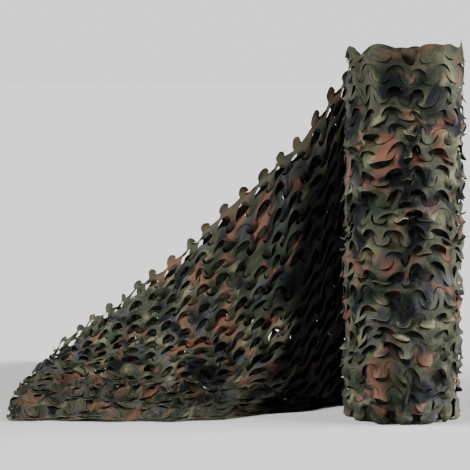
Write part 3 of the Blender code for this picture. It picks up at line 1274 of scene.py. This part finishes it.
@dataclass
class OuterTurn(NetPiece):
    """The net round the outside of the roll."""

    form: RollForm = RollForm()
    swell: Waves = Waves(5, 0.008, 0.07, 0.28)
    drift: Waves = Waves(6, 0.022, 0.12, 0.40)
    sway: Waves = Waves(7, 0.019, 0.12, 0.40)
    free_rate: float = 4.0
    open_rate: float = 6.0
    least_open: float = 0.12
    calm_zone: float = 0.10
    calm_fade: float = 0.20
    least_calm: float = 0.25
    least_drift: float = 0.4
    deepest: float = -0.009
    highest: float = 0.030
    foot_lift: float = 0.018
    foot_zone: float = 0.1
    # Painted shade on leaves sunk into the roll, full at this depth.
    sunk_leaf_shade_depth: float = 0.012
    sunk_leaf_painted_shade: float = 0.70
    rim_height: float = 0.07
    rim_power: float = 1.5
    rim_bites: int = 15
    rim_bite_depth: float = 0.011
    rim_bite_phase: float = math.radians(253)
    rim_swing: float = 0.5
    rim_swing_phase: float = 0.5
    rim_lean: float = 0.004
    rim_lean_wave: float = 0.008
    rim_lean_phase: float = 0.6
    rim_marks: tuple[RimMark, ...] = (
        RimMark(144.0, 18.0, 0.058),
        RimMark(178.0, 9.0, 0.042),
        RimMark(198.0, 6.0, 0.006),
        RimMark(216.0, 9.0, 0.052),
        RimMark(268.0, 13.0, 0.020),
        RimMark(321.0, 6.0, 0.010),
        RimMark(333.0, 6.0, -0.020),
        RimMark(350.0, 9.0, 0.034),
        RimMark(25.0, 15.0, 0.030),
        RimMark(100.0, 14.0, 0.012),
    )

    def shaped(self, s: Array, w: Array, marks: Array) -> tuple[Array, Array]:
        """Wind the cloth round the roll.

        Args:
            s: Places along this stretch.
            w: Places across the cloth, from its first row's centre line.
            marks: Which points are on a leaf, a row for each kind.

        Returns:
            The places in the world, and each point's painted shade and light.
        """
        width = self.cut.width
        turn = TURN * s / self.length
        off_lip = np.sin(turn / 2) ** 2
        free = np.clip(off_lip * self.free_rate, 0.0, 1.0)
        height = w + self.cut.first_row
        height += self.foot_lift * (1 - height / width)
        top_calm = ramp(height, width - self.calm_zone, -self.calm_fade, self.least_calm)
        calm = np.clip(off_lip * self.open_rate, self.least_open, 1.0) * top_calm
        along, across, leaves, painted_leaf_light = self.curl.moves(s, w, marks, self.pitch, calm)
        raised = np.maximum(leaves, self.deepest) + self.swell.at(s, w) * free
        out = self.highest * np.tanh(raised / self.highest)
        # Painted shade on leaves sunk into the roll, and each leaf's painted light and shade.
        hollow = self.sunk_leaf_painted_shade * np.clip(-leaves / self.sunk_leaf_shade_depth, 0.0, 1.0) + painted_leaf_light
        drift = self.drift.at(s, w) * free
        drift *= ramp(height, 0.0, self.foot_zone) * np.clip(top_calm, self.least_drift, 1.0)
        near_top = ramp(height, width - self.rim_height, self.rim_height) ** self.rim_power
        bite, lean = self.rim(turn)
        height = height + across + drift * (1 - near_top) - bite * near_top
        along += s - self.length + self.sway.at(s, w) * free
        splay = np.clip(self.floor - height, 0.0, None)
        return self.form.place(along, height, out + lean * near_top + splay), hollow

    def rim(self, turn: Array) -> tuple[Array, Array]:
        """Shape the rim.

        Args:
            turn: The angle round the roll from the outer turn's start.

        Returns:
            How deep the rim is bitten, and how far it leans out.
        """
        angle = (turn + self.form.lip_angle) % TURN
        lobe = np.abs(np.sin(0.5 * self.rim_bites * (angle - self.rim_bite_phase)))
        swing = 1 + self.rim_swing * np.sin(2 * angle + self.rim_swing_phase)
        bite = self.rim_bite_depth * swing * (1 - lobe)
        for mark in self.rim_marks:
            bite += mark.depth * np.exp(-((np.degrees(angle) - mark.at) / mark.half_width) ** 2)
        wave = self.rim_lean_wave * np.sin(2 * turn + self.rim_lean_phase)
        return bite, self.rim_lean * (1 - lobe) + wave


@dataclass
class LooseEnd(NetPiece):
    """One layer of the net from the lip down to the floor."""

    form: TailForm = TailForm()
    swell: Waves = Waves(15, 0.010, 0.08, 0.40)
    drift: Waves = Waves(16, 0.012, 0.12, 0.40)
    sway: Waves = Waves(17, 0.012, 0.12, 0.40)
    free_after: float = 0.2
    open_after: float = 0.16
    least_open: float = 0.05
    open_on_floor: float = 0.35
    floor_zone: float = 0.06
    below_foot: float = 0.05
    behind: float = 0.0
    shift: float = 0.0
    lift: float = 0.004
    room: float = 0.030
    ridge_height: float = 0.030
    ridge_pitch: float = 0.24
    ridge_warps: tuple[tuple[float, float, float], ...] = ((1.3, 6.8, 0.7), (0.8, 17.0, 2.0))
    ridges_below: float = 0.12
    ridges_from: float = 0.3
    ridges_fade: float = 0.3
    ridge_foot: float = 0.05
    ridge_end: float = 0.10
    ridge_least: float = 0.15
    fine_bite: float = 0.045
    fine_pitch: float = 0.16
    fine_phase: float = 0.9
    broad_bite: float = 0.030
    broad_pitch: float = 0.43
    bite_reach: float = 0.14
    # Painted shade: a base amount that grows with the swell, and more on leaves bent back between the layers.
    painted_shade_base: float = 0.0
    painted_shade_swell: float = 30.0
    sunk_leaf_painted_shade: float = 0.62
    ragged_sway: float = 6.0
    ragged_lean: float = 0.12
    # Painted shadow of the roll on the cloth near the lip, and a softer painted shade that reaches further
    # out.
    pocket_reach: float = 0.70
    pocket_fade: float = 0.12
    pocket_top: float = 1.50
    pocket_top_fade: float = 0.40
    shade_share: float = 0.28
    shade_reach: float = 1.35
    shade_fade: float = 0.9
    # Far from the roll the painted shade eases and painted light lightens the cloth.
    far_from: float = 0.4
    far_fade: float = 0.8
    far_shade_easing: float = 0.90
    far_painted_light: float = 0.14

    def ridges(self, s: Array, w: Array) -> Array:
        """Raise ridges along the cloth that lies on the floor.

        Args:
            s: Places along the cloth.
            w: Places across it.

        Returns:
            How far each place stands up.
        """
        low = 1 - ramp(self.form.base(s, w)[:, 2], 0.0, self.ridges_below)
        warp = sum(height * np.sin(rate * s + phase) for height, rate, phase in self.ridge_warps)
        swell = 0.5 - 0.5 * np.cos(TURN * w / self.ridge_pitch + warp)
        starts = ramp(w, 0.0, self.ridge_foot) * ramp(s, self.ridges_from, self.ridges_fade)
        ends = ramp(s, self.length, -self.ridge_end, self.ridge_least)
        return self.ridge_height * swell * starts * ends * low

    def shaped(self, s: Array, w: Array, marks: Array) -> tuple[Array, Array]:
        """Let the cloth down to the floor.

        Args:
            s: Places along this stretch.
            w: Places across the cloth, from its first row's centre line.
            marks: Which points are on a leaf, a row for each kind.

        Returns:
            The places in the world, and each point's painted shade and light.
        """
        height = w + self.cut.first_row
        free = ramp(s, 0.0, self.free_after)
        aloft = ramp(self.form.base(s, height)[:, 2], 0.0, self.floor_zone)
        calm = ramp(s, 0.0, self.open_after, self.least_open)
        calm *= self.open_on_floor + (1 - self.open_on_floor) * aloft
        along, across, leaves, painted_leaf_light = self.curl.moves(s, w, marks, self.pitch, calm)
        swell = self.swell.at(s, w) * free
        sway = (self.sway.at(s, w) + self.shift) * free
        # Painted shade from the base and the swell, each leaf's painted light and shade, and painted shade on
        # leaves bent back.
        hollow = self.painted_shade_base * (1 + self.painted_shade_swell * swell) + painted_leaf_light
        hollow += self.sunk_leaf_painted_shade * np.clip(-leaves / self.room, 0.0, 1.0)
        leaves = np.where(aloft > 0.5, leaves, np.abs(leaves))
        out = np.maximum(leaves, -self.room * aloft) + np.abs(swell) * (1 - aloft) + swell * aloft
        out += self.lift - self.behind * free * aloft + self.ridges(s, np.clip(height, 0.0, None))
        reach = height + across + self.drift.at(s, w) * free
        reach = np.clip(reach, -self.below_foot, 2 * self.form.width)
        along = np.clip(s + along + sway, 0.0, None)
        along -= self.end_bite(height) * ramp(s, self.length - self.bite_reach, self.bite_reach) ** 2
        # Painted shadow of the roll near the lip, with a ragged border, and a softer painted shade further
        # out.
        ragged = s + self.ragged_sway * sway + self.ragged_lean * height
        pocket_painted_shadow = ramp(ragged, self.pocket_reach, -self.pocket_fade)
        pocket_painted_shadow *= ramp(height, self.pocket_top, -self.pocket_top_fade)
        pocket_painted_shadow += self.shade_share * ramp(ragged, self.shade_reach, -self.shade_fade)
        # Far from the roll, the painted shade eases and painted light is added.
        far = ramp(s, self.far_from, self.far_fade)
        hollow = hollow * (1 - self.far_shade_easing * far) - self.far_painted_light * far
        return self.form.place(along, reach, out), hollow + pocket_painted_shadow

    def end_bite(self, w: Array) -> Array:
        """Cut the free end's uneven edge.

        Args:
            w: Places across the cloth.

        Returns:
            How far the end is cut back there.
        """
        fine = 0.5 + 0.5 * np.cos(TURN * w / self.fine_pitch + self.fine_phase)
        broad = 0.5 + 0.5 * np.sin(TURN * w / self.broad_pitch)
        return self.fine_bite * fine + self.broad_bite * broad


@dataclass
class WoundCore:
    """The turns under the outer one, seen through its cuts: a lumpy closed drum."""

    name: str = "net_wound_core"
    radius: float = 0.220
    follow_share: float = 0.9
    foot: float = 0.010
    top: float = 1.405
    around: int = 120
    up: int = 150
    lumps: Waves = Waves(29, 0.003, 0.05, 0.20, 18)
    free_rate: float = 4.0
    seam_rate: float = 8.0
    print_start: float = 2.6

    def build(self, over: OuterTurn, material: bpy.types.Material) -> bpy.types.Object:
        """Make the drum, with its flat cloth coordinates.

        Args:
            over: The outer turn, whose swells the drum follows.
            material: The finish.

        Returns:
            The finished object.
        """
        angles = np.linspace(0, TURN, self.around, endpoint=False)
        levels = np.linspace(self.foot, self.top, self.up + 1)
        angle, w = (table.ravel() for table in np.meshgrid(angles, levels))
        s = angle * self.radius
        from_lip = (angle - over.form.lip_angle) % TURN
        free = np.clip(self.free_rate * np.sin(from_lip / 2) ** 2, 0.0, 1.0)
        follow = over.swell.at(from_lip / TURN * over.length, w - over.cut.first_row) * free
        lump = self.lumps.at(s, w) * np.clip(np.sin(angle / 2) ** 2 * self.seam_rate, 0.0, 1.0)
        radius = self.radius + self.follow_share * follow + lump
        places = np.column_stack((radius * np.cos(angle), radius * np.sin(angle), w))
        around, last = self.around, self.up * self.around
        faces = [(row + a, row + b, row + b + around, row + a + around) for row in range(0, last, around)
                 for a, b in zip(range(around), (*range(1, around), 0))]
        faces += [tuple(range(around - 1, -1, -1)), tuple(range(last, last + around))]
        mesh = bpy.data.meshes.new(self.name)
        mesh.from_pydata(places.tolist(), [], faces)
        store(mesh, CLOTH, np.column_stack((s + self.print_start, w, np.zeros_like(w))))
        mesh.materials.append(material)
        mesh.shade_smooth()
        mesh.set_sharp_from_angle(angle=SHARP)
        return in_scene(self.name, mesh)


class SpiralTree(Grower):
    """Geometry Nodes that wind a strip of cloth in a spiral."""

    label = "wound edges"
    inputs = {"Turns": "Float", "Inner Radius": "Float", "Outer Radius": "Float", "Steps A Turn": "Int",
              "Foot": "Float", "Height": "Float", "Thickness": "Float", "Wobble": "Float", "Seed": "Float",
              "Spacing Scale": "Float", "Crumple Scale": "Float", "Material": "Material"}

    def wire(self, bench: NodeBench, given: dict[str, Signal]) -> Signal:
        """Add a spiral, its uneven spacing and height, and the strip along it.

        Args:
            bench: The tree's bench.
            given: The tree's inputs by name.

        Returns:
            The strip.
        """
        spiral = bench.get("GeometryNodeCurveSpiral", {
            "Resolution": given["Steps A Turn"], "Rotations": given["Turns"],
            "Start Radius": given["Inner Radius"], "End Radius": given["Outer Radius"], "Height": 0.0})
        place = bench.get("GeometryNodeInputPosition")
        height, seed = given["Height"], given["Seed"]
        spacing = bench.noise(place, given["Spacing Scale"], 2.0, W=seed)
        crumple = bench.noise(place, given["Crumple Scale"], 1.0, W=seed + 5.0)
        spread = bench.vector("SCALE", bench.vector("NORMALIZE", place), (spacing - 0.5) * given["Wobble"])
        raised = bench.get("ShaderNodeCombineXYZ", {"Z": given["Foot"] + (crumple - 0.5) * height})
        moved = bench.get("GeometryNodeSetPosition", {
            "Geometry": spiral, "Offset": bench.vector("ADD", spread, raised)})
        profile = bench.get("GeometryNodeCurvePrimitiveQuadrilateral", {
            "Width": given["Thickness"], "Height": height})
        swept = bench.get("GeometryNodeCurveToMesh", {
            "Curve": moved, "Profile Curve": profile, "Fill Caps": True})
        return bench.get("GeometryNodeStoreNamedAttribute", {
            "Geometry": swept, "Name": CLOTH, "Value": place}, data_type="FLOAT_VECTOR")


@dataclass
class WoundEdges:
    """The turns seen at the roll's upper end: one strip of cloth, standing on edge in a spiral."""

    name: str = "net_wound_edges"
    turns: float = 22.0
    inner_radius: float = 0.030
    outer_radius: float = 0.212
    steps_a_turn: int = 40
    foot: float = 1.432
    height: float = 0.050
    thickness: float = 0.0014
    wobble: float = 0.010
    seed: float = 3.0
    spacing_scale: float = 9.0
    crumple_scale: float = 45.0

    @property
    def length(self) -> float:
        """Return the strip's length."""
        return self.turns * math.pi * (self.inner_radius + self.outer_radius)

    def build(self, material: bpy.types.Material) -> bpy.types.Object:
        """Make the strip and return the finished object."""
        return in_scene(self.name, SpiralTree().run(self.name, {
            "Turns": self.turns, "Inner Radius": self.inner_radius, "Outer Radius": self.outer_radius,
            "Steps A Turn": self.steps_a_turn, "Foot": self.foot, "Height": self.height,
            "Thickness": self.thickness, "Wobble": self.wobble, "Seed": self.seed,
            "Spacing Scale": self.spacing_scale, "Crumple Scale": self.crumple_scale,
            "Material": material}))


class ThreadTree(Grower):
    """Geometry Nodes that grow a bent thread from each point, along its own heading."""

    label = "loose threads"
    inputs = {"Geometry": "Geometry", "Steps": "Int", "Sides": "Int", "Thickness": "Float",
              "Tangle": "Float", "Tangle Scale": "Float", "Material": "Material"}

    def wire(self, bench: NodeBench, given: dict[str, Signal]) -> Signal:
        """Add a line on each point, its bends, and a thin tube along it.

        Args:
            bench: The tree's bench.
            given: The tree's inputs by name.

        Returns:
            The tubes.
        """
        line = bench.get("GeometryNodeCurvePrimitiveLine", {"Start": (0, 0, 0), "End": (0, 0, 1)})
        fine = bench.get("GeometryNodeResampleCurve", {"Curve": line, "Count": given["Steps"]})
        heading, reach = (
            bench.get("GeometryNodeInputNamedAttribute", {"Name": name}, "Attribute", data_type=kind)
            for name, kind in (("heading", "FLOAT_VECTOR"), ("reach", "FLOAT")))
        turned = bench.get("FunctionNodeAlignRotationToVector", {"Vector": heading}, axis="Z")
        grown = bench.get("GeometryNodeInstanceOnPoints", {
            "Points": given["Geometry"], "Instance": fine, "Rotation": turned, "Scale": reach})
        real = bench.get("GeometryNodeRealizeInstances", {0: grown})
        place = bench.get("GeometryNodeInputPosition")
        tangle = bench.noise(place, given["Tangle Scale"], 1.0, "Color")
        share = bench.get("GeometryNodeSplineParameter", out="Factor") * given["Tangle"]
        offset = bench.vector("SCALE", bench.vector("SUBTRACT", tangle, (0.5, 0.5, 0.5)), share)
        bent = bench.get("GeometryNodeSetPosition", {"Geometry": real, "Offset": offset})
        profile = bench.get("GeometryNodeCurvePrimitiveCircle", {
            "Resolution": given["Sides"], "Radius": given["Thickness"]})
        return bench.get("GeometryNodeCurveToMesh", {
            "Curve": bent, "Profile Curve": profile, "Fill Caps": True})


@dataclass(frozen=True)
class ThreadPatch:
    """Where a number of loose threads grow: a stretch of the cloth, given as ranges of s and w."""

    count: int
    s: tuple[float, float]
    w: tuple[float, float]


@dataclass
class FrayedEdges:
    """Loose threads at the cut edges of the roll."""

    form: RollForm
    name: str = "net_loose_threads"
    seed: int = 63
    shortest: float = 0.012
    longest: float = 0.045
    root_height: float = 0.004
    waywardness: float = 0.6
    steps: int = 7
    sides: int = 3
    thickness: float = 0.0004
    tangle: float = 0.05
    tangle_scale: float = 38.0
    patches: tuple[ThreadPatch, ...] = (
        ThreadPatch(26, (-0.95, -0.55), (0.35, 1.25)),
        ThreadPatch(14, (-0.60, -0.30), (0.05, 1.10)),
        ThreadPatch(12, (-1.35, -0.95), (0.10, 1.30)),
    )

    def build(self, material: bpy.types.Material) -> bpy.types.Object:
        """Make the threads.

        Args:
            material: Their finish.

        Returns:
            The finished object.
        """
        rng = np.random.default_rng(self.seed)
        s = np.concatenate([rng.uniform(*patch.s, patch.count) for patch in self.patches])
        w = np.concatenate([rng.uniform(*patch.w, patch.count) for patch in self.patches])
        roots = self.form.place(s, w, np.full_like(s, self.root_height))
        outward = self.form.place(s, w, np.ones_like(s)) - roots
        outward /= np.linalg.norm(outward, axis=1)[:, None]
        start = bpy.data.meshes.new(f"{self.name}_roots")
        start.from_pydata(roots.tolist(), [], [])
        store(start, "heading", outward + rng.normal(0.0, self.waywardness, outward.shape))
        store(start, "reach", self.shortest + (self.longest - self.shortest) * rng.random(len(s)) ** 2)
        return in_scene(self.name, ThreadTree().run(self.name, {
            "Steps": self.steps, "Sides": self.sides, "Thickness": self.thickness,
            "Tangle": self.tangle, "Tangle Scale": self.tangle_scale, "Material": material}, start))


# ---------------------------------------------------------------- studio


@dataclass(frozen=True)
class Sun:
    """One large soft distant light, at an azimuth and an elevation in degrees."""

    name: str
    azimuth: float
    elevation: float
    strength: float
    softness: float = math.radians(34)

    def build(self) -> None:
        """Add the light to the scene."""
        azimuth, elevation = math.radians(self.azimuth), math.radians(self.elevation)
        flat = math.cos(elevation)
        towards = Vector((flat * math.cos(azimuth), flat * math.sin(azimuth), math.sin(elevation)))
        data = bpy.data.lights.new(self.name, "SUN")
        data.angle = self.softness
        data.energy = self.strength
        in_scene(self.name, data).rotation_euler = (-towards).to_track_quat("-Z", "Y").to_euler()


@dataclass
class Studio:
    """Pale floor, soft light and the camera at the photo's angle."""

    eye: tuple[float, float, float] = (-0.68, -6.50, 1.35)
    pitch_down: float = math.radians(5.41)
    lens: float = 123.5
    floor_size: float = 3000.0
    air: float = 0.08
    horizon: float = 1.33
    horizon_top: float = 0.06
    air_from: float = 0.14
    suns: tuple[Sun, ...] = (
        Sun("key", -3.0, 15.0, 17.8),
        Sun("fill", -171.0, 28.0, 9.0),
        Sun("top", -90.0, 60.0, 0.5),
    )

    def build(self) -> None:
        """Make the floor, the lights and the camera."""
        self.make_floor()
        self.make_air()
        for sun in self.suns:
            sun.build()
        self.make_camera()

    def make_floor(self) -> None:
        """Lay the floor."""
        half = self.floor_size / 2
        finish = FloorFinish()
        mesh = bpy.data.meshes.new(finish.name)
        corners = [(-half, -half, 0.0), (half, -half, 0.0), (half, half, 0.0), (-half, half, 0.0)]
        mesh.from_pydata(corners, [], [(0, 1, 2, 3)])
        mesh.materials.append(finish.build())
        floor = in_scene(finish.name, mesh)

    def make_air(self) -> None:
        """Fill the room with even light, brighter low down, where the far wall of a studio is."""
        world = bpy.data.worlds.new("studio_air")
        world.use_nodes = True
        bench = NodeBench(world.node_tree)
        heading = bench.get("ShaderNodeTexCoord", out="Generated")
        height = bench.get("ShaderNodeSeparateXYZ", {0: heading}, "Z")
        stops = ((self.horizon_top, (*(self.horizon,) * 3, 1.0)), (self.air_from, (*(self.air,) * 3, 1.0)))
        colour = bench.get("ShaderNodeValToRGB", {"Fac": height}, "Color", stops=stops)
        bench.feed(world.node_tree.nodes["Background"], {"Color": colour})
        bpy.context.scene.world = world

    def make_camera(self) -> None:
        """Place the camera."""
        data = bpy.data.cameras.new("camera")
        data.lens = self.lens
        camera = in_scene("camera", data)
        camera.location = self.eye
        camera.rotation_euler = (math.pi / 2 - self.pitch_down, 0.0, 0.0)
        bpy.context.scene.camera = camera


# ---------------------------------------------------------------- assembly


def seat(piece: bpy.types.Object, node: str) -> None:
    """Let a piece ride on the net's body and stand for a solid.

    Args:
        piece: The finished object.
        node: The solid that it replaces.
    """
    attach(piece, BODY)
    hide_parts(node)
    log.info("%s: %d faces", piece.name, len(piece.data.polygons))


def build_roll(cut: Cut, layer: TileLayer, sides: Sides) -> None:
    """Build the wound cloth: its outer turn, the turns under it, their edges on top, and its threads.

    Args:
        cut: The die cut's sizes.
        layer: The tree that lays tiles.
        sides: The cloth's finishes.
    """
    form = RollForm()
    arches = Hinge(hangs=False, bend=-0.95, lip=0.010)
    bowls = Hinge(hangs=True, bend=1.15, lip=-0.004, own_rows={0: 0.70}, own_leaves={(18, 6): -5.0})
    curl = LeafCurl(cut, 41, (arches, bowls), spread=0.70, twist=0.26, most_twist=0.9, dome=0.012,
                    cup=0.009, shut=0.12, painted_leaf_light=0.38, most_painted_leaf_light=0.70)
    turn = OuterTurn("net_outer_turn", curl, columns=15, rows=19, foot=TileKind.FOOT, top=TileKind.RIM,
                     length=form.circumference, start=-form.circumference, thickness=0.0012, form=form)
    outer = turn.build(layer, sides)
    seat(outer, ROLL_NODE)

    # The turns under the outer one carry painted shade: their print is mixed most of the way to near black.
    deep_painted_shade = NetPrint("net_print_shaded", plain_and_painted_light_share=0.80, plain_and_painted_light_colour=(0.004, 0.004, 0.003)).build()
    core = WoundCore().build(turn, deep_painted_shade)
    seat(core, ROLL_NODE)

    edges = WoundEdges()
    strip = edges.build(NetPrint("net_print_wound", plain_and_painted_light_share=0.35, plain_and_painted_light_colour=(0.034, 0.034, 0.024)).build())
    seat(strip, ROLL_NODE)

    threads = FrayedEdges(form).build(ThreadFinish().build())
    seat(threads, ROLL_NODE)


def build_loose_end(cut: Cut, layer: TileLayer, sides: Sides) -> None:
    """Build the loose end: two layers of net, one close behind the other, the print outward on both.

    Args:
        cut: The die cut's sizes.
        layer: The tree that lays tiles.
        sides: The cloth's finishes.
    """
    form = TailForm()
    columns, rows = 20, 19
    low = replace(cut, first_row=0.040, top_disc=0.019, top_level=-0.005, top_disc_stretch=1.2,
                  disc_neck=math.radians(36))
    arches = Hinge(hangs=False, bend=-1.50, lip=0.006, own_rows={rows - 1: 0.90})
    curl = LeafCurl(low, 77, (arches, Hinge(hangs=True, bend=-1.00)), spread=0.50, shut=0.10, painted_leaf_light=0.12,
                    own_turn=0.8)
    front = LooseEnd("net_loose_end", curl, columns, rows, TileKind.MIDDLE, TileKind.TABS, form.length,
                     form=form)
    closed = replace(low, slit=0.0002)
    back_curl = LeafCurl(closed, 91, (Hinge(hangs=False, bend=0.60), Hinge(hangs=True, bend=-1.10)),
                         spread=0.28, cup=0.006, twist=0.14, ripple=0.001, spare=0.18, narrowing=0.0,
                         shut=0.05, painted_leaf_light=0.40, slit_painted_shade=0.60)
    back = LooseEnd("net_loose_end_back", back_curl, columns, rows, TileKind.MIDDLE, TileKind.TABS,
                    form.length, form=form, behind=0.034, shift=0.028, lift=0.0006, ridge_height=0.0249,
                    painted_shade_base=0.62)
    # Painted shade on the back layer: its base painted shade at lesser strength on the open side, and mixed
    # towards near black between the layers.
    open_air = NetPrint("net_print_back", painted_shade_strength=0.80).build()
    between = NetPrint("net_print_between", plain_and_painted_light_share=0.50, plain_and_painted_light_colour=(0.016, 0.016, 0.011)).build()
    turned = Sides(sides.inner, sides.outer, sides.cut_edge)
    behind = Sides(open_air, between, sides.cut_edge)
    for piece, finishes in ((front, turned), (back, behind)):
        made = piece.build(layer, finishes)
        seat(made, TAIL_NODE)


def main() -> None:
    """Build the net and the studio."""
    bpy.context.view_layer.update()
    cut = Cut()
    layer = TileLayer()
    # The inner side is the cloth's plainer back, mixed towards dark as painted shade too; the cut edge is the
    # cloth's pale core and also a painted highlight.
    sides = Sides(NetPrint().build(), NetPrint("net_print_inner", plain_and_painted_light_share=0.5).build(),
                  NetPrint("net_cut_edge", plain_and_painted_light_share=0.75, plain_and_painted_light_colour=(0.20, 0.195, 0.13)).build())
    build_roll(cut, layer, sides)
    build_loose_end(cut, layer, sides)
    Studio().build()


if __name__ == "__main__":
    logging.basicConfig(level=logging.INFO, format="%(name)s: %(message)s")
    main()
